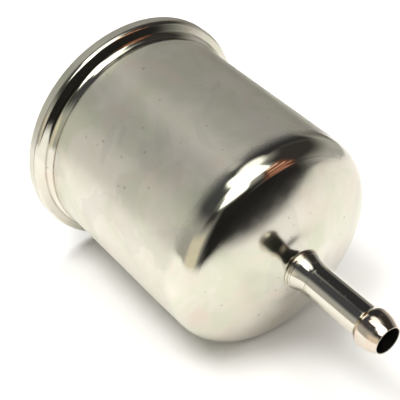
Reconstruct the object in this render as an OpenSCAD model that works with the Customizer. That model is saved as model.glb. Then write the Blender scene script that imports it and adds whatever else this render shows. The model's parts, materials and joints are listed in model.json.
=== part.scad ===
// In-line fuel filter with a rolled steel can.
// The axis of the filter runs along X: the outlet is at +X and the inlet at -X.
// The origin is on the axis at the middle of the can's straight barrel.

/* [Can] */
// Outside diameter of the straight barrel
barrel_d = 56; // [54:0.5:64]
// Length of the straight barrel
barrel_l = 47.6; // [46:0.2:60]
// Thickness of the can's sheet steel
can_t = 0.8; // [0.6:0.1:1]
// Outside radius of the shoulder between barrel and end dome
shoulder_r = 7; // [6:0.5:9]
// Outside radius of the shallow end dome
crown_r = 56; // [50:1:80]
// How far the dome is drawn out round the outlet tube
boss_h = 1; // [0:0.1:1.5]
// Radius at which that boss has run out into the dome
boss_r = 12; // [9:0.5:13]

/* [Rolled rim] */
// How far the rim stands out from the barrel
rim_reach = 3.2; // [3:0.1:3.6]
// Width of the rim along the axis
rim_w = 3.9; // [3.8:0.1:4.4]
// Distance from the barrel's end to the rim's front face
rim_gap = 3.4; // [3.2:0.1:4]
// Radius of the hollow between barrel and rim
neck_r = 2.4; // [2:0.1:2.6]
// Outside radius on the rim's back corner
rim_corner_r = 0.9; // [0.85:0.05:1]
// Outside radius on the rim's front corner
rim_shoulder_r = 1.2; // [1:0.05:1.4]
// How far the rim's front face leans back from square
rim_slope = 24; // [20:1:36]

/* [Lid] */
// Thickness of the lid
lid_t = 0.8; // [0.6:0.1:1]
// Depth of the lid's panel below the rim's back
lid_sink = 5.2; // [4.8:0.1:6]
// Inside radius of the bends at the edge of the lid's panel
lid_bend_r = 1.2; // [0.8:0.1:1.5]

/* [Nipples] */
// Outside diameter of both tubes, which is the bore of the hose
nipple_d = 8; // [7.5:0.5:9]
// Bore of both tubes
nipple_bore_d = 6.4; // [5:0.1:6.6]
// Length of the outlet tube outside the can
outlet_reach = 28.1; // [24:0.1:34]
// Length of the inlet tube outside the lid
inlet_reach = 27.5; // [24:0.1:34]
// Largest diameter of the hose bead
bead_d = 9.2; // [9:0.1:10.4]
// Length of the bead, from the end of the straight tube to the tip
bead_l = 6.9; // [6.5:0.1:8]
// Angle at which the bead's taper meets the tip
bead_taper = 30; // [20:1:30]
// Leg of the braze at the foot of each tube
braze_leg = 1.1; // [0.8:0.1:1.4]
// Length of the outlet tube's flared foot
flare_l = 3.8; // [2:0.1:5]
// How far the flared foot stands out from the tube
flare_h = 0.85; // [0.5:0.05:0.9]

/* [Element] */
// Diameter over the pleats
media_d = 45; // [40:1:46]
// Diameter inside the pleats
media_bore_d = 18; // [17:0.5:20]
// Number of pleats
pleats = 40; // [30:1:44]
// Length of the pleated paper
media_l = 37.2; // [34:0.2:38]
// Thickness of the pressed end caps
cap_t = 0.8; // [0.6:0.1:1]
// Height of the end caps' skirts
skirt_h = 4; // [3:0.5:5]
// Outside diameter of the perforated centre tube
core_d = 16; // [15.6:0.1:16.4]
// Diameter of the holes in the centre tube
core_hole_d = 2.4; // [1.6:0.1:3]
// Number of rows of holes in the centre tube
core_rows = 7; // [4:1:8]

/* [Spring] */
// Mean diameter of the spring
spring_d = 14; // [13.6:0.1:15]
// Diameter of the spring's wire
spring_wire_d = 1; // [0.8:0.1:1.2]
// Number of turns
spring_turns = 3; // [2:1:4]

/* [Hidden] */

$fn = 96;

// Can
barrel_r = barrel_d / 2;
half_l = barrel_l / 2;
can_in_r = barrel_r - can_t;
knuckle_axis_r = barrel_r - shoulder_r;
crown_tilt = asin(knuckle_axis_r / (crown_r - shoulder_r));
crown_c = half_l - (crown_r - shoulder_r) * cos(crown_tilt);
crown_in_r = crown_r - can_t;
crown_top = crown_c + crown_r;

// Rolled rim
rim_r = barrel_r + rim_reach;
rim_front = -half_l - rim_gap;
rim_back = rim_front - rim_w;
rim_lip_r = rim_r - 2.6;
rim_front_c = [rim_r - rim_shoulder_r, rim_front - rim_shoulder_r * 0.9];
rim_slant_h = rim_reach - (rim_shoulder_r + neck_r) * (1 - sin(rim_slope));
neck_c = [barrel_r + neck_r, rim_front_c[1] + (rim_shoulder_r + neck_r) * cos(rim_slope)
          + rim_slant_h * tan(rim_slope)];

// Lid, whose edge is clamped under the rim's turned-over lip
lid_edge_r = rim_r - can_t - 0.1;
lid_edge_back = rim_back + can_t;
lid_wall_r = can_in_r - 0.1;
lid_panel_back = rim_back + lid_sink;
lid_panel_front = lid_panel_back + lid_t;

// Nipples
nipple_r = nipple_d / 2;
bore_r = nipple_bore_d / 2;
bead_r = bead_d / 2;
joint_gap = 0.05;
seat_r = nipple_r + joint_gap;
outlet_tip = crown_top + outlet_reach;
outlet_root = crown_top - 9;
inlet_tip = lid_panel_back - inlet_reach;
inlet_root = lid_panel_front + 1;
outlet_foot_x = crown_c + sqrt(crown_r * crown_r - pow(seat_r + braze_leg, 2)) + boss_h + joint_gap;
collar_l = braze_leg;
ferrule_r = 7.5;
ferrule_t = 1.2;

// Element, placed from the outlet end
cap_gap = 10.5;
open_cap_x = crown_top - cap_gap;
potting_t = 1;
media_front = open_cap_x - cap_t - potting_t;
media_back = media_front - media_l;
closed_cap_x = media_back - potting_t - cap_t;
cap_r = media_d / 2 + 1.3;
potting_r = cap_r - cap_t - joint_gap;
core_r = core_d / 2;
core_in_r = core_r - 0.8;
potting_in_r = core_r + joint_gap;

// Outlet seal
hub_r = 7;
hub_in_r = hub_r - cap_t;
hub_l = 6;
grommet_gap = 0.3;
grommet_flange_r = hub_r + 0.4;
ferrule_back = crown_top - can_t - 0.8 - ferrule_t;

// Spring and what it bears on
baffle_r = 11.5;
baffle_t = 0.8;
baffle_gap = 2.8;
baffle_x = lid_panel_front + baffle_gap;
seat_t = 0.8;
seat_flange_r = 9.4;
seat_boss_r = spring_d / 2 - spring_wire_d / 2 - 0.3;
seat_boss_l = 1.6;
spring_from = baffle_x + baffle_t + joint_gap;
spring_to = closed_cap_x - seat_t - 2 * joint_gap;

// Points of an arc about a centre, from angle a0 to angle a1
function arc(c, r, a0, a1, n = 8) =
    [for (i = [0 : n]) c + r * [cos(a0 + (a1 - a0) * i / n), sin(a0 + (a1 - a0) * i / n)]];

// X position of the dome's surface, of radius r_dome, at distance r from the axis
function dome_x(r_dome, r) = crown_c + sqrt(r_dome * r_dome - r * r);

// Height of the boss round the outlet tube, at distance r from the axis
function boss(r) = let (t = max(0, (r - seat_r - braze_leg) / (boss_r - seat_r - braze_leg)))
    boss_h * (1 + cos(180 * min(1, t))) / 2;

// Turns a profile of points [distance from axis, x] about the X axis
module turned(profile) {
    rotate([0, 90, 0]) rotate_extrude() polygon(profile);
}

// A plain ring from radius r0 to r1, between x0 and x1
module ring(r0, r1, x0, x1) {
    turned([[r0, x0], [r1, x0], [r1, x1], [r0, x1]]);
}

module can() {
    crown_a = 90 - crown_tilt;
    hole_edge = [[seat_r, dome_x(crown_r, seat_r + braze_leg) + boss_h]];
    drawn = [for (i = [0 : 9]) let (r = seat_r + braze_leg + (boss_r - seat_r - braze_leg) * i / 10)
        [r, dome_x(crown_r, r) + boss(r)]];
    outside = concat(
        hole_edge,
        drawn,
        arc([0, crown_c], crown_r, 90 - asin(boss_r / crown_r), crown_a, 10),
        arc([knuckle_axis_r, half_l], shoulder_r, crown_a, 0, 10),
        arc(neck_c, neck_r, 180, 270 - rim_slope, 8),
        arc(rim_front_c, rim_shoulder_r, 90 - rim_slope, 0, 5),
        arc([rim_r - rim_corner_r, rim_back + rim_corner_r], rim_corner_r, 0, -90, 5),
        [[rim_lip_r, rim_back]]);
    rim_bend_r = rim_corner_r - can_t;
    inside = concat(
        [[rim_lip_r, rim_back + can_t]],
        arc([rim_r - rim_corner_r, rim_back + rim_corner_r], rim_bend_r, -90, 0, 3),
        arc(rim_front_c, rim_shoulder_r - can_t, 0, 90 - rim_slope, 4),
        arc(neck_c, neck_r + can_t, 270 - rim_slope, 180, 8),
        arc([knuckle_axis_r, half_l], shoulder_r - can_t, 0, crown_a, 10),
        arc([0, crown_c], crown_in_r, crown_a, 90 - asin(seat_r / crown_in_r), 12));
    color("#b3ad9c") turned(concat(outside, inside));
}

module lid() {
    wall_in_r = lid_wall_r - lid_t;
    outside = concat(
        [[seat_r, lid_panel_front]],
        arc([wall_in_r - lid_bend_r, lid_panel_front - lid_bend_r - lid_t],
            lid_bend_r + lid_t, 90, 0, 6),
        [[lid_wall_r, lid_edge_back + lid_t + joint_gap],
         [lid_edge_r, lid_edge_back + lid_t + joint_gap]]);
    inside = concat(
        [[lid_edge_r, lid_edge_back + joint_gap], [wall_in_r, lid_edge_back + joint_gap]],
        arc([wall_in_r - lid_bend_r, lid_panel_front - lid_bend_r - lid_t],
            lid_bend_r, 0, 90, 6),
        [[seat_r, lid_panel_back]]);
    color("#a9a498") turned(concat(outside, inside));
}

module seam_gasket() {
    x0 = lid_edge_back + lid_t + 2 * joint_gap;
    x1 = rim_front - can_t - joint_gap;
    color("#2c2a28") ring(neck_c[0] - 1, lid_edge_r - 0.3, x0, x1);
}

// A tube from x = root, with a hose bead that ends at x = tip; foot is what flares at its foot
module nipple(root, tip, foot = []) {
    bead_start = tip - bead_l;
    crest_x = tip - bead_l * 0.7;
    rise_a = 2 * atan((bead_r - nipple_r) / (crest_x - bead_start));
    rise_r = (crest_x - bead_start) / sin(rise_a);
    hollow_r = rise_r * 0.4;
    crest_r = rise_r * 0.6;
    lip_r = 0.2;
    taper_r = (tip - lip_r - crest_x) / sin(bead_taper);
    lip_top = bead_r - taper_r * (1 - cos(bead_taper));
    turned(concat(
        [[bore_r, root], [nipple_r, root]],
        foot,
        arc([nipple_r + hollow_r, bead_start], hollow_r, 180, 180 - rise_a, 5),
        arc([bead_r - crest_r, crest_x], crest_r, -rise_a, 0, 5),
        arc([bead_r - taper_r, crest_x], taper_r, 0, bead_taper, 6),
        arc([lip_top - lip_r, tip - lip_r], lip_r, bead_taper, 90, 3),
        [[bore_r, tip - 0.3]]));
}

module outlet_nipple() {
    flare_x = outlet_foot_x + collar_l + 0.02;
    foot = [for (i = [0 : 8]) [nipple_r + flare_h * pow(1 - i / 8, 1.8), flare_x + flare_l * i / 8]];
    color("#c2bcae") nipple(outlet_root, outlet_tip, concat([[nipple_r, flare_x]], foot));
}

module inlet_nipple() {
    color("#c2bcae") mirror([1, 0, 0]) nipple(-inlet_root, -inlet_tip);
}

module outlet_braze() {
    foot_r = seat_r + braze_leg;
    top_x = outlet_foot_x + collar_l;
    color("#b08d62") turned(concat(
        [[seat_r, outlet_foot_x + joint_gap], [foot_r, outlet_foot_x]],
        arc([foot_r + 0.05, outlet_foot_x + 0.35], 0.25, 250, 190, 4),
        arc([nipple_r + flare_h - 0.15, top_x - 0.25], 0.25, 10, 80, 4),
        [[seat_r, top_x]]));
}

module inlet_braze() {
    foot_r = seat_r + braze_leg;
    foot_x = lid_panel_back - joint_gap;
    top_x = foot_x - braze_leg;
    color("#b08d62") turned(concat(
        [[seat_r, foot_x], [foot_r, foot_x]],
        arc([foot_r, top_x], braze_leg * 0.96, 98, 172, 6),
        [[seat_r, top_x]]));
}

module outlet_ferrule() {
    face = [for (i = [0 : 6]) let (r = ferrule_r + (seat_r - ferrule_r) * i / 6)
        [r, dome_x(crown_in_r, r) - 2 * joint_gap]];
    color("#9c988e") turned(concat([[seat_r, ferrule_back], [ferrule_r, ferrule_back]], face));
}

module inlet_ferrule() {
    color("#9c988e") ring(seat_r, ferrule_r, lid_panel_front + joint_gap, inlet_root);
}

module inlet_baffle() {
    leg_r = 0.9;
    leg_ring_r = 9.8;
    leg_l = baffle_gap - joint_gap;
    color("#8f8b82") union() {
        ring(0, baffle_r, baffle_x, baffle_x + baffle_t);
        for (a = [0 : 120 : 240]) rotate([a, 0, 0])
            translate([baffle_x - leg_l, 0, leg_ring_r])
            rotate([0, 90, 0]) cylinder(r = leg_r, h = leg_l + baffle_t / 2, $fn = 32);
    }
}

// One ring of the spring's wire for each turn, joined by struts that stand for its pitch
module spring() {
    wire_r = spring_wire_d / 2;
    first = spring_from + wire_r;
    pitch = (spring_to - spring_from - spring_wire_d) / spring_turns;
    color("#777a7d") union() {
        for (i = [0 : spring_turns]) translate([first + i * pitch, 0, 0])
            rotate([0, 90, 0]) rotate_extrude() translate([spring_d / 2, 0]) circle(wire_r, $fn = 24);
        for (i = [0 : spring_turns - 1]) rotate([180 * i, 0, 0])
            translate([first + i * pitch, 0, spring_d / 2])
            rotate([0, 90, 0]) cylinder(r = wire_r * 0.8, h = pitch, $fn = 24);
    }
}

module spring_seat() {
    back = closed_cap_x - joint_gap;
    color("#8f8b82") union() {
        ring(0, seat_flange_r, back - seat_t, back);
        ring(0, seat_boss_r, back - seat_t - seat_boss_l, back - seat_t / 2);
    }
}

module closed_end_cap() {
    color("#a39f92") turned([
        [0, closed_cap_x], [cap_r, closed_cap_x], [cap_r, closed_cap_x + skirt_h],
        [cap_r - cap_t, closed_cap_x + skirt_h], [cap_r - cap_t, closed_cap_x + cap_t],
        [0, closed_cap_x + cap_t]]);
}

module open_end_cap() {
    inner_x = open_cap_x - cap_t;
    hub_x = open_cap_x + hub_l;
    color("#a39f92") turned([
        [hub_in_r, inner_x], [cap_r - cap_t, inner_x], [cap_r - cap_t, open_cap_x - skirt_h],
        [cap_r, open_cap_x - skirt_h], [cap_r, open_cap_x], [hub_r, open_cap_x],
        [hub_r, hub_x], [hub_in_r, hub_x]]);
}

module closed_cap_adhesive() {
    color("#5a3b22") ring(potting_in_r, potting_r, closed_cap_x + cap_t + joint_gap,
                          media_back - joint_gap);
}

module open_cap_adhesive() {
    color("#5a3b22") ring(potting_in_r, potting_r, media_front + joint_gap,
                          open_cap_x - cap_t - joint_gap);
}

// Sheet folded into a star: each pleat gives a fold at the rim and a fold at the bore
module pleated_media() {
    pitch = 360 / pleats;
    out_r = media_d / 2;
    in_r = media_bore_d / 2;
    fold = 1.1;
    tip_a = 1.1;
    root_a = 2;
    outer = [for (i = [0 : pleats - 1], p = [[out_r, -tip_a], [out_r, tip_a],
                                             [in_r + fold, pitch / 2]])
        p[0] * [cos(i * pitch + p[1]), sin(i * pitch + p[1])]];
    inner = [for (i = [0 : pleats - 1], p = [[out_r - fold, 0], [in_r, pitch / 2 - root_a],
                                             [in_r, pitch / 2 + root_a]])
        p[0] * [cos(i * pitch + p[1]), sin(i * pitch + p[1])]];
    color("#d8bf86") translate([media_back, 0, 0]) rotate([0, 90, 0]) linear_extrude(media_l)
        difference() {
            polygon(outer);
            polygon(inner);
        }
}

// Thin strip pinched over the two ends of the paper, along the rim of the pleats
module media_clip() {
    clip_w = 1.6;
    clip_t = 0.5;
    clip_r = media_d / 2 + joint_gap;
    end_gap = skirt_h - cap_t - potting_t + 0.4;
    color("#8f8b82") translate([media_back + end_gap, -clip_w / 2, clip_r])
        cube([media_l - 2 * end_gap, clip_w, clip_t]);
}

module media_bands() {
    band_w = 1.6;
    band_t = 0.5;
    band_r = media_d / 2 + 0.65;
    color("#e6dcc0") union() {
        for (x = [media_back + media_l * 0.36, media_back + media_l * 0.64])
            ring(band_r, band_r + band_t, x - band_w / 2, x + band_w / 2);
    }
}

module centre_tube() {
    x0 = closed_cap_x + cap_t + joint_gap;
    x1 = open_cap_x - cap_t - joint_gap;
    row_gap = media_l / core_rows;
    color("#9c988e") difference() {
        ring(core_in_r, core_r, x0, x1);
        for (row = [0 : core_rows - 1], a = [0 : 60 : 120])
            translate([media_back + (row + 0.5) * row_gap, 0, 0])
            rotate([a + 30 * (row % 2), 0, 0])
            cylinder(d = core_hole_d, h = core_d + 2, center = true, $fn = 24);
    }
}

module centring_ring() {
    ring_x = closed_cap_x + 0.6;
    ring_w = 2.4;
    ring_in_r = cap_r + joint_gap;
    lug_r = can_in_r - 0.35;
    lug_w = 5;
    color("#d9d6cc") union() {
        ring(ring_in_r, ring_in_r + 1, ring_x, ring_x + ring_w);
        for (a = [30 : 60 : 330]) intersection() {
            ring(ring_in_r, lug_r, ring_x, ring_x + ring_w);
            rotate([a, 0, 0]) translate([ring_x, -lug_w / 2, 0]) cube([ring_w, lug_w, lug_r]);
        }
    }
}

module outlet_grommet() {
    hub_end = open_cap_x + hub_l + joint_gap;
    color("#1f1f20") turned([
        [seat_r, open_cap_x - cap_t], [hub_in_r - joint_gap, open_cap_x - cap_t],
        [hub_in_r - joint_gap, hub_end], [grommet_flange_r, hub_end],
        [grommet_flange_r, ferrule_back - grommet_gap], [seat_r, ferrule_back - grommet_gap]]);
}

can();
lid();
seam_gasket();
outlet_nipple();
inlet_nipple();
outlet_braze();
inlet_braze();
outlet_ferrule();
inlet_ferrule();
inlet_baffle();
spring();
spring_seat();
closed_end_cap();
open_end_cap();
closed_cap_adhesive();
open_cap_adhesive();
pleated_media();
media_clip();
media_bands();
centre_tube();
centring_ring();
outlet_grommet();
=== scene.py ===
"""Looks of an in-line fuel filter with a rolled steel can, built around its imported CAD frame."""

import json
import math

import bpy
from mathutils import Matrix, Vector, noise


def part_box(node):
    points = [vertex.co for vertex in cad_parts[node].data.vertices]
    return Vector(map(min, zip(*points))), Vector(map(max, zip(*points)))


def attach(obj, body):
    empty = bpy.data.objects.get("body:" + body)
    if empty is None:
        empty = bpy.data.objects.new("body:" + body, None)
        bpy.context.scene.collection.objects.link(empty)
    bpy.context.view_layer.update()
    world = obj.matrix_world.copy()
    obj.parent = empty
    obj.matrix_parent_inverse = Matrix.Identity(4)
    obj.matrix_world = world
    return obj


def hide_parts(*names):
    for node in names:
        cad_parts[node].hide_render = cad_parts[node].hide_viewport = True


MM = 0.001
TURN = 2 * math.pi

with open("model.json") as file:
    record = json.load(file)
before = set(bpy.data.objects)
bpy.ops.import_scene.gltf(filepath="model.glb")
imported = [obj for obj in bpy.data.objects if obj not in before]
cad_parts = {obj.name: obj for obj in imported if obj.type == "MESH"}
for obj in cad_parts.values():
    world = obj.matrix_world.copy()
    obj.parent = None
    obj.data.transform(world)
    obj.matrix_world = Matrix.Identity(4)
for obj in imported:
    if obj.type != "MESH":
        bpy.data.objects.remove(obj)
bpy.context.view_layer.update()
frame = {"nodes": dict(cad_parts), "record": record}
mounts = {m["name"]: m for m in frame["record"]["mounts"]}


# ---------------------------------------------------------------- sizes

def node_x(node):
    """Lowest and highest X of a CAD node."""
    low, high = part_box(node)
    return low.x, high.x


def node_radius(node):
    """Outer radius of a CAD node that is turned about the X axis."""
    low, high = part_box(node)
    return (high.y - low.y) / 2


# Read from the frame and its mounts
BARREL_R = mounts["body_band"]["dims"]["r_mm"] * MM
HALF_L = mounts["body_band"]["dims"]["length_mm"] * MM / 2
TUBE_R = mounts["outlet_hose_seat"]["dims"]["r_mm"] * MM
BORE_R = mounts["outlet_bore"]["dims"]["r_mm"] * MM
RIM_R = node_radius("can")
RIM_BACK = node_x("can")[0]
LID_FRONT = node_x("lid")[1]
BEAD_R = node_radius("outlet_nipple")

# Steel sheet, and the play between pieces
SHEET = 0.8 * MM
SLACK = 0.05 * MM
LID_PLAY = 0.1 * MM
HOLE_R = TUBE_R + SLACK

# Braze collar, tube and bead
BRAZE_LEG = 1.1 * MM
FOOT_R = HOLE_R + BRAZE_LEG
COLLAR_L = 1.1 * MM
COLLAR_EDGE = 0.25 * MM
FLARE_L = 3.8 * MM
FLARE_R = 0.85 * MM
FLARE_POWER = 1.8
FLARE_GAP = 0.02 * MM
BEAD_L = 6.9 * MM
BEAD_CREST = BEAD_L * 0.7
BEAD_FALL = 30
BEAD_LIP_R = 0.2 * MM
BEAD_MOUTH = 0.3 * MM

# Shoulder, dome and the boss round the tube
SHOULDER_R = 7 * MM
CROWN_R = 56 * MM
CROWN_TILT = math.asin((BARREL_R - SHOULDER_R) / (CROWN_R - SHOULDER_R))
CROWN_X = HALF_L - (CROWN_R - SHOULDER_R) * math.cos(CROWN_TILT)
BOSS_R = 12 * MM
BOSS_H = 1.0 * MM
BOSS_RING = 0.03 * MM
EASE_STEP = 0.25 * MM
EASE_PASSES = 26

# Rolled rim, from its slanted front to the lip behind it
RIM_W = 3.9 * MM
RIM_FRONT = RIM_BACK + RIM_W
RIM_CORNER = 0.9 * MM
RIM_SHOULDER = 1.2 * MM
RIM_ROUNDING = RIM_SHOULDER * 0.9
RIM_SLOPE = 24
NECK_R = 2.4 * MM
LIP_IN_R = RIM_R - 2.6 * MM

# Unevenness of the drawn can: depths, and how closely the waves and ripples follow each other
BARREL_WAVE = 0.05 * MM
DOME_WAVE = 0.03 * MM
RIPPLE = 0.006 * MM
WAVES_ALONG = 60
WAVES_ROUND = 1.6
RIPPLES = 280
WAVE_SEED = Vector((7, 3, 1))
RIPPLE_SEED = Vector((2, 9, 5))

# The filter lies on the rim and the shoulder, and the paper's front edge faces the camera
RIM_TOUCH = RIM_W * 0.8
FLOOR_LEAN = math.atan2(RIM_R - BARREL_R, HALF_L - RIM_BACK - RIM_TOUCH)
FLOOR_TURN = math.radians(52.5)


# ---------------------------------------------------------------- mesh helpers

def arc(centre, radius, start, end, count):
    """Points (x, r) on an arc about centre; angles in degrees, from the +r direction towards +x."""
    angles = [math.radians(start + (end - start) * i / count) for i in range(count + 1)]
    return [(centre[0] + radius * math.sin(a), centre[1] + radius * math.cos(a)) for a in angles]


def spread(points, step):
    """The same open line with extra points wherever two neighbours are more than step apart.
    Of two neighbours in one place, only one is kept."""
    one_place = 1e-7
    line = []
    for a, b in zip(points, points[1:]):
        if math.dist(a, b) < one_place:
            continue
        count = max(1, math.ceil(math.dist(a, b) / step))
        line += [(a[0] + (b[0] - a[0]) * i / count, a[1] + (b[1] - a[1]) * i / count)
                 for i in range(count)]
    return line + [points[-1]]


def softened(line, step, passes):
    """The same open line with evenly spaced points and its corners eased; its ends stay in place."""
    lengths = [math.dist(a, b) for a, b in zip(line, line[1:])]
    count = round(sum(lengths) / step)
    points = [line[0]]
    i = 0
    passed = 0.0
    for k in range(1, count):
        reach = sum(lengths) * k / count
        while passed + lengths[i] < reach:
            passed += lengths[i]
            i += 1
        t = (reach - passed) / lengths[i]
        points.append(tuple(a + (b - a) * t for a, b in zip(line[i], line[i + 1])))
    points.append(line[-1])
    for _ in range(passes):
        eased = [((a[0] + 2 * b[0] + c[0]) / 4, (a[1] + 2 * b[1] + c[1]) / 4)
                 for a, b, c in zip(points, points[1:], points[2:])]
        points = [points[0]] + eased + [points[-1]]
    return points


def mesh_piece(name, verts, faces):
    """A smooth-shaded object of its own."""
    mesh = bpy.data.meshes.new(name)
    mesh.from_pydata(verts, [], faces)
    mesh.validate()
    mesh.shade_smooth()
    piece = bpy.data.objects.new(name, mesh)
    bpy.context.scene.collection.objects.link(piece)
    return piece


def lathe(name, profile, sides, shift=None):
    """A closed profile of points (x, r) turned about X. shift(x, r, angle) is added to a point's radius."""
    verts, faces = [], []
    count = len(profile)
    for j in range(sides):
        a = TURN * j / sides
        for x, r in profile:
            radius = r + (shift(x, r, a) if shift else 0.0)
            verts.append((x, radius * math.cos(a), radius * math.sin(a)))
    for j in range(sides):
        k = (j + 1) % sides
        for i in range(count):
            n = (i + 1) % count
            faces.append((j * count + i, j * count + n, k * count + n, k * count + i))
    return mesh_piece(name, verts, faces)


def dress(piece, body, node, slot):
    """piece rides on body, stands for the CAD node and takes the material of its slot."""
    piece.data.materials.append(materials[slot])
    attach(piece, body)
    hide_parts(node)


# ---------------------------------------------------------------- shader helpers

def add(tree, kind, inputs=None, **settings):
    """A new node; inputs maps a socket's name or number to a value or to another node's output."""
    node = tree.nodes.new(kind)
    for key, value in settings.items():
        setattr(node, key, value)
    for key, value in (inputs or {}).items():
        if isinstance(value, bpy.types.NodeSocket):
            tree.links.new(value, node.inputs[key])
        else:
            node.inputs[key].default_value = value
    return node


def maths(tree, operation, *values):
    """The result of one maths node."""
    node = add(tree, "ShaderNodeMath", dict(enumerate(values)), operation=operation)
    return node.outputs[0]


def remap(tree, value, low, high, to_low=0.0, to_high=1.0):
    """value from low..high is eased into to_low..to_high, and held at both ends."""
    inputs = {"Value": value, "From Min": low, "From Max": high, "To Min": to_low, "To Max": to_high}
    return add(tree, "ShaderNodeMapRange", inputs, interpolation_type="SMOOTHSTEP").outputs["Result"]


def blend(tree, factor, a, b):
    """Colour a turned into colour b by factor."""
    return add(tree, "ShaderNodeMix", {0: factor, 6: a, 7: b}, data_type="RGBA").outputs[2]


def grain(tree, place, scale, detail=3.0, roughness=0.5, distortion=0.0):
    """Cloudy noise; scale is its number of clouds in a millimetre."""
    inputs = {"Vector": place, "Scale": scale, "Detail": detail, "Roughness": roughness,
              "Distortion": distortion}
    return add(tree, "ShaderNodeTexNoise", inputs).outputs["Fac"]


def specks(tree, place, scale, size):
    """Round specks of up to size, one at most in each cell: 1 inside, 0 outside."""
    soft = 0.05
    cells = add(tree, "ShaderNodeTexVoronoi", {"Vector": place, "Scale": scale})
    limit = maths(tree, "MULTIPLY", cells.outputs["Color"], size)
    return remap(tree, maths(tree, "SUBTRACT", limit, cells.outputs["Distance"]), 0.0, soft)


def bumped(tree, height, depth, before=None):
    """Bump whose full height is depth in millimetres."""
    inputs = {"Height": height, "Distance": depth * MM, "Strength": 1.0}
    if before:
        inputs["Normal"] = before
    return add(tree, "ShaderNodeBump", inputs).outputs["Normal"]


def new_material(name):
    """An empty material: (material, its tree, its shader, the place on the object in millimetres)."""
    material = bpy.data.materials.new(name)
    material.use_nodes = True
    tree = material.node_tree
    tree.nodes.clear()
    shader = add(tree, "ShaderNodeBsdfPrincipled")
    output = add(tree, "ShaderNodeOutputMaterial")
    tree.links.new(shader.outputs[0], output.inputs["Surface"])
    where = add(tree, "ShaderNodeTexCoord").outputs["Object"]
    place = add(tree, "ShaderNodeVectorMath", {0: where, 1: (1 / MM,) * 3}, operation="MULTIPLY")
    return material, tree, shader, place.outputs[0]


def connect(tree, shader, **sockets):
    """Links values to the shader's inputs, named in lower case with an underscore for each space."""
    for name, value in sockets.items():
        tree.links.new(value, shader.inputs[name.replace("_", " ").title()])


# ---------------------------------------------------------------- materials

PLATING = (0.70, 0.668, 0.588, 1)
GREEN_CLOUD = (0.625, 0.63, 0.505, 1)
PINK_CLOUD = (0.685, 0.62, 0.53, 1)
GREY_STAIN = (0.58, 0.56, 0.5, 1)
# Copper: the braze's own colour, and a painted copper reflection on the outlet's bead
COPPER_AND_REFLECTED_COPPER = (0.70, 0.47, 0.35, 1)
PIT_BOTTOM = (0.25, 0.2, 0.15, 1)
# Dark brown for the painted shade in the rim's creases
CREASE_SHADE = (0.2, 0.15, 0.1, 1)
# Near black for the bore: its darker unplated steel and the painted shade inside it
BORE_OXIDE_AND_SHADE = (0.012, 0.011, 0.01, 1)

# Bump depths in millimetres; a pit goes in, so its depth is negative
PIT_DEPTH = -0.006
PLAIN_BUMP = 0.02

PIT_SIZE = 0.17
PIT_STRENGTH = 0.45
BORE_ROUGHNESS = 0.7

# The bore's dark, its darker unplated steel with painted shade over it, reaches this far past its wall, in
# millimetres: where it fades out, where it is full
BORE_FADE = 0.25
BORE_FULL = 0.05


def axis_distance(tree, place):
    """Distance from the X axis, in millimetres."""
    across = add(tree, "ShaderNodeVectorMath", {0: place, 1: (0, 1, 1)}, operation="MULTIPLY")
    length = add(tree, "ShaderNodeVectorMath", {0: across.outputs[0]}, operation="LENGTH")
    return length.outputs["Value"]


def along_axis(tree, place, first, steps):
    """A value that changes along the X axis: first, then each step's (x, soft, value) in millimetres."""
    x = add(tree, "ShaderNodeSeparateXYZ", {0: place}).outputs["X"]
    value = first
    for at, soft, level in steps:
        past = remap(tree, x, at - soft, at + soft)
        value = add(tree, "ShaderNodeMix", {0: past, 2: value, 3: level}).outputs[0]
    return value


def cloudy_plating(tree, place, clouds):
    """Bright plating with clouds of green and pink, and grey stains with a crisp edge."""
    cloud = remap(tree, grain(tree, place, 0.07, 5, 0.6, 0.8), 0.4, 0.62, 0.0, clouds)
    tone = blend(tree, cloud, PLATING, GREEN_CLOUD)
    blush = remap(tree, grain(tree, place, 0.11, 4, 0.55, 0.4), 0.5, 0.7, 0.0, clouds)
    tone = blend(tree, blush, tone, PINK_CLOUD)
    stain = remap(tree, grain(tree, place, 0.04, 2, 0.5, 1.5), 0.55, 0.57, 0.0, 0.45 * clouds)
    return blend(tree, stain, tone, GREY_STAIN)


def copper_and_painted_reflection(tree, place, tone, first, steps):
    """tone with patches of copper colour: the braze's own copper, and a painted copper reflection on the
    bead. Their strength changes at the given steps along the axis.
    """
    patch = remap(tree, grain(tree, place, 0.3, 3, 0.6, 0.5), 0.35, 0.6, 0.15, 1.0)
    patch = maths(tree, "MULTIPLY", patch, along_axis(tree, place, first, steps))
    return blend(tree, patch, tone, COPPER_AND_REFLECTED_COPPER)


def shaded_creases(tree, place, tone, creases):
    """tone with patchy painted shade in the creases, each given as (x, width, strength)."""
    x = add(tree, "ShaderNodeSeparateXYZ", {0: place}).outputs["X"]
    patchy = remap(tree, grain(tree, place, 0.15, 3), 0.3, 0.65, 0.55, 1.0)
    for at, width, strength in creases:
        away = maths(tree, "ABSOLUTE", maths(tree, "SUBTRACT", x, at))
        painted_shade = remap(tree, away, width, 0.0, 0.0, strength)
        tone = blend(tree, maths(tree, "MULTIPLY", painted_shade, patchy), tone, CREASE_SHADE)
    return tone


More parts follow.
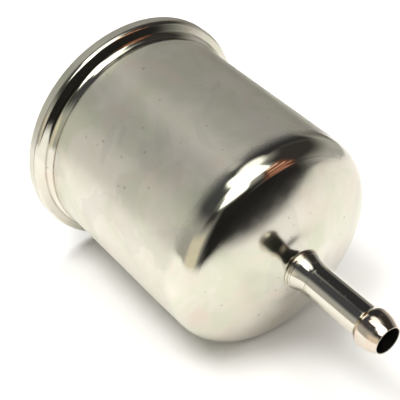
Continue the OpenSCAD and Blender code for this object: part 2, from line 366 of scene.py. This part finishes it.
def plated_steel(name, rough, steps=(), dull=0.0, dull_steps=(), clouds=1.0, peel=0.004, pits=0.32,
                 creases=(), copper_and_reflection=()):
    """Plated sheet with clouds, small pits, orange peel, painted shade in the creases, and a bore painted
    dark for its unplated steel and the shade inside it. Roughness and dullness change at their steps along
    the axis, pits is the pits' scale, peel is the peel's depth in millimetres, and the copper argument is
    the first value and the steps of copper colour: the braze's own copper and a painted copper reflection
    on the bead."""
    material, tree, shader, place = new_material(name)
    tone = cloudy_plating(tree, place, clouds)
    if copper_and_reflection:
        tone = copper_and_painted_reflection(tree, place, tone, *copper_and_reflection)
    pit = specks(tree, place, pits, PIT_SIZE)
    tone = blend(tree, maths(tree, "MULTIPLY", pit, PIT_STRENGTH), tone, PIT_BOTTOM)
    # Painted shade darkens the creases
    tone = shaded_creases(tree, place, tone, creases)
    uneven = remap(tree, grain(tree, place, 0.25, 4, 0.6), 0.3, 0.7, 0.87, 1.15)
    roughness = maths(tree, "MULTIPLY", along_axis(tree, place, rough, steps), uneven)
    from_axis = axis_distance(tree, place)
    # The bore is painted near black: its darker unplated steel and painted shade inside it
    bore = remap(tree, from_axis, BORE_R / MM + BORE_FADE, BORE_R / MM + BORE_FULL)
    tone = blend(tree, bore, tone, BORE_OXIDE_AND_SHADE)
    roughness = maths(tree, "MAXIMUM", roughness, maths(tree, "MULTIPLY", bore, BORE_ROUGHNESS))
    normal = bumped(tree, grain(tree, place, 0.9, 3, 0.5), peel)
    normal = bumped(tree, pit, PIT_DEPTH, normal)
    connect(tree, shader, base_color=tone, roughness=roughness, normal=normal)
    if dull_steps:
        metal = maths(tree, "SUBTRACT", 1.0, along_axis(tree, place, dull, dull_steps))
        connect(tree, shader, metallic=metal)
    else:
        shader.inputs["Metallic"].default_value = 1.0 - dull
    return material


def plain(name, light, dark, rough, metallic=0.0):
    """A quiet material: two tones mixed by grain, uneven roughness and a fine bump."""
    material, tree, shader, place = new_material(name)
    shader.inputs["Metallic"].default_value = metallic
    cloud = remap(tree, grain(tree, place, 0.16, 4, 0.6), 0.35, 0.65)
    tone = blend(tree, cloud, (*light, 1), (*dark, 1))
    roughness = remap(tree, grain(tree, place, 0.8), 0.3, 0.7, rough - 0.08, rough + 0.08)
    normal = bumped(tree, grain(tree, place, 3.2), PLAIN_BUMP)
    connect(tree, shader, base_color=tone, roughness=roughness, normal=normal)
    return material


# Steps (x, soft, value) in millimetres: the rim's hollow, the barrel, shoulder, dome and boss.
# The hollow and the shoulder are burnished by forming, and the barrel is left dull.
CAN_FINISH = [(-28.2, 0.3, 0.08), (-24.0, 0.6, 0.35), (23.0, 2.0, 0.08), (30.3, 1.6, 0.17),
              (33.2, 0.8, 0.11)]
CAN_DULL = [(-28.2, 0.3, 0.0), (-24.0, 0.6, 0.28), (23.0, 2.0, 0.0)]

# Creases of painted shade (x, width, strength) in millimetres, all in the rim's hollow
CAN_CREASES = [(-28.3, 0.24, 0.85), (-26.4, 0.28, 0.6), (-24.3, 0.34, 0.8)]

# A painted copper reflection shows on the outlet's bead from just past its start, and the inlet's bead has
# none
BEAD_START = node_x("outlet_nipple")[1] / MM - BEAD_L / MM
BEAD_PAINTED_REFLECTION = [(BEAD_START + 0.6, 0.8, 0.4)]

materials = {
    "can_steel": plated_steel("can_steel", 0.38, CAN_FINISH, 0.25, CAN_DULL, creases=CAN_CREASES),
    "lid_steel": plated_steel("lid_steel", 0.36, dull=0.3),
    "tube_steel": plated_steel("tube_steel", 0.05, clouds=0.2, pits=1.1, copper_and_reflection=(0.0, BEAD_PAINTED_REFLECTION)),
    "braze_metal": plated_steel("braze_metal", 0.09, clouds=0.4, peel=0.006, copper_and_reflection=(0.25, ())),
    "inner_steel": plain("inner_steel", (0.58, 0.57, 0.54), (0.48, 0.47, 0.44), 0.35, 1.0),
    "cap_steel": plain("cap_steel", (0.66, 0.64, 0.58), (0.58, 0.56, 0.5), 0.3, 1.0),
    "spring_steel": plain("spring_steel", (0.4, 0.4, 0.41), (0.26, 0.26, 0.27), 0.3, 1.0),
    "filter_paper": plain("filter_paper", (0.80, 0.64, 0.36), (0.70, 0.53, 0.27), 0.85),
    "potting": plain("potting", (0.20, 0.11, 0.05), (0.13, 0.07, 0.03), 0.4),
    "glue": plain("glue", (0.85, 0.78, 0.58), (0.78, 0.70, 0.48), 0.45),
    "pale_nylon": plain("pale_nylon", (0.78, 0.76, 0.69), (0.71, 0.69, 0.61), 0.45),
    "black_rubber": plain("black_rubber", (0.03, 0.03, 0.03), (0.018, 0.018, 0.018), 0.6),
}


# ---------------------------------------------------------------- pieces

def crown_from(from_r, crown_r):
    """Angle on the crown's arc at the radius from_r, where the arc starts."""
    return 90 - math.degrees(math.asin(from_r / crown_r))


def boss(r):
    """Height of the boss that the dome is drawn out to round its tube, with faint rings on its slope."""
    t = min(1.0, max(0.0, (r - FOOT_R) / (BOSS_R - FOOT_R)))
    ring = BOSS_RING * math.sin(math.pi * t) * math.cos(12 * t)
    return BOSS_H * (1 + math.cos(math.pi * t)) / 2 + ring


def can_profile():
    """Outline of the can's sheet: outside from the tube's hole to the lip, then back inside."""
    crown_end = 90 - math.degrees(CROWN_TILT)
    knuckle = (HALF_L, BARREL_R - SHOULDER_R)
    bends = RIM_SHOULDER + NECK_R
    slope = math.radians(RIM_SLOPE)
    slant = RIM_R - BARREL_R - bends * (1 - math.sin(slope))
    front = (RIM_FRONT - RIM_ROUNDING, RIM_R - RIM_SHOULDER)
    neck_x = front[0] + bends * math.cos(slope) + slant * math.tan(slope)
    neck = (neck_x, BARREL_R + NECK_R)
    back = (RIM_BACK + RIM_CORNER, RIM_R - RIM_CORNER)
    drawn = arc((CROWN_X, 0), CROWN_R, crown_from(FOOT_R, CROWN_R), crown_end, 120)
    dome = [(x + boss(r), r) for x, r in drawn]
    dome += arc(knuckle, SHOULDER_R, crown_end, 0, 40) + [(0, BARREL_R)]
    outside = [(drawn[0][0] + BOSS_H, HOLE_R)] + softened(dome, EASE_STEP, EASE_PASSES)
    outside += arc(neck, NECK_R, 180, 270 - RIM_SLOPE, 20)
    outside += arc(front, RIM_SHOULDER, 90 - RIM_SLOPE, 0, 14)
    outside += arc(back, RIM_CORNER, 0, -90, 10)
    outside.append((RIM_BACK, LIP_IN_R))
    inner_corner = RIM_CORNER - SHEET
    inside = [(RIM_BACK + SHEET, LIP_IN_R)]
    inside += arc(back, inner_corner, -90, 0, 3)
    inside += arc(front, RIM_SHOULDER - SHEET, 0, 90 - RIM_SLOPE, 4)
    inside += arc(neck, NECK_R + SHEET, 270 - RIM_SLOPE, 180, 8)
    inside += arc(knuckle, SHOULDER_R - SHEET, 0, crown_end, 12)
    inside += arc((CROWN_X, 0), CROWN_R - SHEET, crown_end, crown_from(HOLE_R, CROWN_R - SHEET), 12)
    return spread(outside, step=1.2 * MM) + inside


def can_shift(x, r, angle):
    """The sheet isn't quite round: soft waves, only inwards on the barrel and rim, and fine ripples."""
    y, z = math.cos(angle), math.sin(angle)
    wave = noise.noise(Vector((x * WAVES_ALONG, y * WAVES_ROUND, z * WAVES_ROUND)) + WAVE_SEED)
    ripple = noise.noise(Vector((x, r * y, r * z)) * RIPPLES + RIPPLE_SEED) * RIPPLE
    if r > BARREL_R * 0.9:
        return (wave - 1) * BARREL_WAVE + ripple
    return wave * DOME_WAVE * r / BARREL_R + ripple


def can():
    """The drawn can with its dome, barrel and rolled rim."""
    dress(lathe("can_shell", can_profile(), 256, can_shift), "housing", "can", "can_steel")


def lid():
    """The countersunk end plate: a flange under the rolled rim, a wall and a flat bottom."""
    edge_r = RIM_R - SHEET - LID_PLAY
    edge_x = RIM_BACK + SHEET
    wall_r = BARREL_R - SHEET - LID_PLAY
    bend_r = 1.2 * MM
    wall_in_r = wall_r - SHEET
    bend = (LID_FRONT - bend_r - SHEET, wall_in_r - bend_r)
    front = [(LID_FRONT, HOLE_R)] + arc(bend, bend_r + SHEET, 90, 0, 10)
    front += [(edge_x + SHEET + SLACK, wall_r), (edge_x + SHEET + SLACK, edge_r)]
    back = [(edge_x + SLACK, edge_r), (edge_x + SLACK, wall_in_r)]
    back += arc(bend, bend_r, 0, 90, 10) + [(LID_FRONT - SHEET, HOLE_R)]
    profile = spread(front, step=1.5 * MM) + spread(back, step=1.0 * MM)
    dress(lathe("lid_panel", profile, 192), "housing", "lid", "lid_steel")


def nipple_profile(root, tip, foot=None):
    """Tube from x = root to a bead at x = tip. The bead swells in an S and closes to a rolled lip.
    If foot is given, the tube flares out just above the braze collar that stands there."""
    start = tip - BEAD_L
    crest_x = tip - BEAD_CREST
    rise_a = 2 * math.atan2(BEAD_R - TUBE_R, crest_x - start)
    rise_r = (crest_x - start) / math.sin(rise_a)
    rise = math.degrees(rise_a)
    hollow_r = rise_r * 0.4
    crest_r = rise_r * 0.6
    fall_r = (tip - BEAD_LIP_R - crest_x) / math.sin(math.radians(BEAD_FALL))
    profile = [(root, BORE_R), (root, TUBE_R)]
    if foot is not None:
        flare_x = foot + COLLAR_L + FLARE_GAP
        profile.append((flare_x, TUBE_R))
        shares = [i / 30 for i in range(31)]
        profile += [(flare_x + FLARE_L * t, TUBE_R + FLARE_R * (1 - t) ** FLARE_POWER) for t in shares]
    profile += arc((start, TUBE_R + hollow_r), hollow_r, 180, 180 - rise, 10)
    profile += arc((crest_x, BEAD_R - crest_r), crest_r, -rise, 0, 10)
    profile += arc((crest_x, BEAD_R - fall_r), fall_r, 0, BEAD_FALL, 16)
    lip_top = BEAD_R - fall_r * (1 - math.cos(math.radians(BEAD_FALL)))
    profile += arc((tip - BEAD_LIP_R, lip_top - BEAD_LIP_R), BEAD_LIP_R, BEAD_FALL, 90, 6)
    profile += [(tip - BEAD_MOUTH, BORE_R)]
    return spread(profile, step=1.0 * MM)


def nipples():
    """The outlet tube with its flared foot, and the inlet tube, which is plain down to its root."""
    low, high = node_x("outlet_nipple")
    foot = node_x("outlet_braze")[0]
    outlet = lathe("outlet_tube", nipple_profile(low, high, foot), 96)
    dress(outlet, "housing", "outlet_nipple", "tube_steel")
    low, high = node_x("inlet_nipple")
    mirrored = [(-x, r) for x, r in reversed(nipple_profile(-high, -low))]
    dress(lathe("inlet_tube", mirrored, 96), "housing", "inlet_nipple", "tube_steel")


def brazes():
    """A collar of braze metal round the foot of each tube."""
    for side, node in ((1, "outlet_braze"), (-1, "inlet_braze")):
        low, high = node_x(node)
        foot = low if side > 0 else -high
        top = foot + COLLAR_L
        toe = (foot + 0.35 * MM, FOOT_R + 0.05 * MM)
        brow = (top - COLLAR_EDGE, TUBE_R + FLARE_R - 0.15 * MM)
        profile = [(foot + SLACK, HOLE_R), (foot, FOOT_R)]
        profile += arc(toe, COLLAR_EDGE, 250, 190, 5)
        profile += arc(brow, COLLAR_EDGE, 10, 80, 5)
        profile += [(top, HOLE_R)]
        if side < 0:
            profile = [(-x, r) for x, r in reversed(profile)]
        ring = lathe(node + "_fillet", spread(profile, step=0.4 * MM), 96)
        dress(ring, "housing", node, "braze_metal")


def carried_over():
    """CAD nodes that keep their own mesh get their slot's material and a small bevel."""
    slots = {s["node"]: s["material_slot"] for s in frame["record"]["subparts"]}
    for name, node in frame["nodes"].items():
        if node.hide_render:
            continue
        node.data.materials.clear()
        node.data.materials.append(materials[slots[name]])
        bevel = node.modifiers.new("soft_edges", "BEVEL")
        bevel.width = 0.12 * MM
        bevel.segments = 2
        bevel.limit_method = "ANGLE"
        bevel.angle_limit = math.radians(40)


# ---------------------------------------------------------------- studio

WHITE = (1.0, 1.0, 1.0, 1)
ROOM = (0.52, 0.515, 0.49, 1)
PAPER_TONES = (0.86, 0.855, 0.845, 1), (0.88, 0.875, 0.865, 1)

# (left, right, bottom, top) and soft edge in degrees, then colour. A later card covers an earlier one.
STUDIO_CARDS = {
    "left wall": ((-175, -60, -40, 12), 12, (0.52, 0.505, 0.46)),
    "warm wall": ((-88, -50, -40, 12), 7, (0.9, 0.82, 0.66)),
    "dark back": ((104, 228, 18, 74), 7, (0.038, 0.038, 0.042)),
    "overhead": ((-200, 200, 75, 100), 6, (1.8, 1.77, 1.7)),
    "far backdrop": ((56, 80, -80, -4), 7, (1.2, 1.18, 1.14)),
    "dark behind": ((116, 152, -50, 18), 8, (0.14, 0.13, 0.115)),
    "dark left": ((-156, -65, 27, 68), 11, (0.078, 0.078, 0.088)),
    "pale sheen": ((-184, -160, 49, 62), 6, (0.6, 0.59, 0.56)),
    "dusk": ((-72, -44, 20, 42), 9, (0.05, 0.048, 0.045)),
    "dark room": ((-46, 48, -40, 40), 12, (0.02, 0.019, 0.018)),
    "dark ceiling": ((30, 112, 16, 70), 14, (0.045, 0.04, 0.038)),
    "copper shade": ((12, 44, 27, 52), 4, (0.16, 0.07, 0.045)),
    "low copper": ((18, 43, 30, 32), 1.5, (0.9, 0.4, 0.25)),
    "middle copper": ((18, 40, 37, 40), 1.5, (1.1, 0.55, 0.36)),
    "high copper": ((18, 36, 46, 49), 1.5, (1.3, 0.8, 0.55)),
    "softbox foot": ((-53, -8, 38, 60), 4, (3.5, 3.45, 3.3)),
    "softbox": ((-62, 26, 52, 84), 4, (3.5, 3.45, 3.3)),
    "softbox wing": ((-122, -50, 65, 84), 4, (3.0, 2.95, 2.85)),
}


def floor():
    """A sheet of pale paper that leans so that the rim and the shoulder both touch it. Its edges are
    given in millimetres from its middle, and all but the far right one fade out."""
    right, left, back, front = 1200, 200, 200, 122
    fade = 60
    front_fade = 28
    low_x, low_y, high_y = -left - fade, -front - front_fade, back + fade
    corners = [(low_x, low_y), (right, low_y), (right, high_y), (low_x, high_y)]
    plane = mesh_piece("floor", [(x * MM, y * MM, 0) for x, y in corners], [(0, 1, 2, 3)])
    lean = Matrix.Rotation(-FLOOR_LEAN, 4, "Y")
    under = Vector((0, 0, -BARREL_R - HALF_L * math.tan(FLOOR_LEAN)))
    turned = Matrix.Rotation(FLOOR_TURN, 4, "Z")
    plane.matrix_world = Matrix.Translation(under) @ lean @ turned
    material, tree, shader, place = new_material("floor_paper")
    tone = blend(tree, grain(tree, place, 0.01, 2), *PAPER_TONES)
    shader.inputs["Roughness"].default_value = 0.9
    shader.inputs["Specular IOR Level"].default_value = 0.1
    axes = add(tree, "ShaderNodeSeparateXYZ", {0: place})
    near = remap(tree, axes.outputs["Y"], -front - front_fade, -front + front_fade)
    far = remap(tree, axes.outputs["Y"], back + fade, back - fade)
    aside = remap(tree, axes.outputs["X"], -left - fade, -left + fade)
    cover = maths(tree, "MULTIPLY", maths(tree, "MULTIPLY", near, far), aside)
    connect(tree, shader, base_color=tone, alpha=cover)
    plane.data.materials.append(material)
    return plane


def studio_card(tree, colour, azimuth, elevation, card, soft, level):
    """colour with a soft-edged card in front of it. card is (left, right, bottom, top) in degrees."""
    left, right, bottom, top = (math.radians(v) for v in card)
    edge = math.radians(soft)
    middle, half = (left + right) / 2, (right - left) / 2
    aside = maths(tree, "WRAP", maths(tree, "SUBTRACT", azimuth, middle), math.pi, -math.pi)
    across = remap(tree, maths(tree, "ABSOLUTE", aside), half + edge, half - edge)
    above = remap(tree, elevation, bottom - edge, bottom + edge)
    below = remap(tree, elevation, top + edge, top - edge)
    mask = maths(tree, "MULTIPLY", across, maths(tree, "MULTIPLY", above, below))
    return blend(tree, mask, colour, (*level, 1))


def surroundings():
    """The studio that the metal mirrors, level with the floor. The camera itself sees plain white."""
    world = bpy.data.worlds.new("studio")
    world.use_nodes = True
    bpy.context.scene.world = world
    tree = world.node_tree
    tree.nodes.clear()
    direction = add(tree, "ShaderNodeTexCoord").outputs["Generated"]
    level_with_floor = add(tree, "ShaderNodeVectorRotate", {"Vector": direction, "Angle": FLOOR_LEAN},
                           rotation_type="Y_AXIS").outputs[0]
    axes = add(tree, "ShaderNodeSeparateXYZ", {0: level_with_floor})
    azimuth = maths(tree, "ARCTAN2", axes.outputs["Y"], axes.outputs["X"])
    elevation = maths(tree, "ARCSINE", axes.outputs["Z"])
    colour = add(tree, "ShaderNodeRGB").outputs[0]
    colour.default_value = ROOM
    for card, soft, level in STUDIO_CARDS.values():
        colour = studio_card(tree, colour, azimuth, elevation, card, soft, level)
    seen = add(tree, "ShaderNodeLightPath").outputs["Is Camera Ray"]
    colour = blend(tree, seen, colour, WHITE)
    background = add(tree, "ShaderNodeBackground", {"Color": colour, "Strength": 1.0})
    output = add(tree, "ShaderNodeOutputWorld")
    tree.links.new(background.outputs[0], output.inputs["Surface"])


def shine_only_on(light, piece):
    """light reaches piece and nothing else."""
    group = bpy.data.collections.new(light.name + "_reach")
    group.objects.link(piece)
    light.light_linking.receiver_collection = group


def area_light(name, place, size, power):
    """A round light that shines at the filter's middle and isn't mirrored by the metal."""
    data = bpy.data.lights.new(name, "AREA")
    data.shape = "DISK"
    data.size = size
    data.energy = power
    light = bpy.data.objects.new(name, data)
    light.location = place
    light.rotation_euler = (-Vector(place)).to_track_quat("-Z", "Y").to_euler()
    light.visible_glossy = False
    bpy.context.scene.collection.objects.link(light)
    return light


def camera():
    """Long lens above the side of the dome, upright to the leaning floor."""
    place = Vector((163.0, -134.1, 168.1)) * MM
    target = Vector((3.7, -4.0, 0)) * MM
    floor_up = Vector((-math.sin(FLOOR_LEAN), 0, math.cos(FLOOR_LEAN)))
    back = (place - target).normalized()
    right = floor_up.cross(back).normalized()
    up = back.cross(right)
    data = bpy.data.cameras.new("camera")
    data.lens = 99
    data.sensor_width = 36
    data.clip_start = 0.01
    view = bpy.data.objects.new("camera", data)
    turn = Matrix((right, up, back)).transposed().to_4x4()
    view.matrix_world = Matrix.Translation(place) @ turn
    bpy.context.scene.collection.objects.link(view)
    bpy.context.scene.camera = view


can()
lid()
nipples()
brazes()
carried_over()
paper = floor()
surroundings()
area_light("front_light", (-0.03, -0.262, 0.562), size=0.3, power=2.5)
paper_light = area_light("paper_light", (-0.22, 0.13, 0.54), size=0.26, power=1.3)
shine_only_on(paper_light, paper)
camera()
bpy.context.scene.view_settings.view_transform = "Standard"
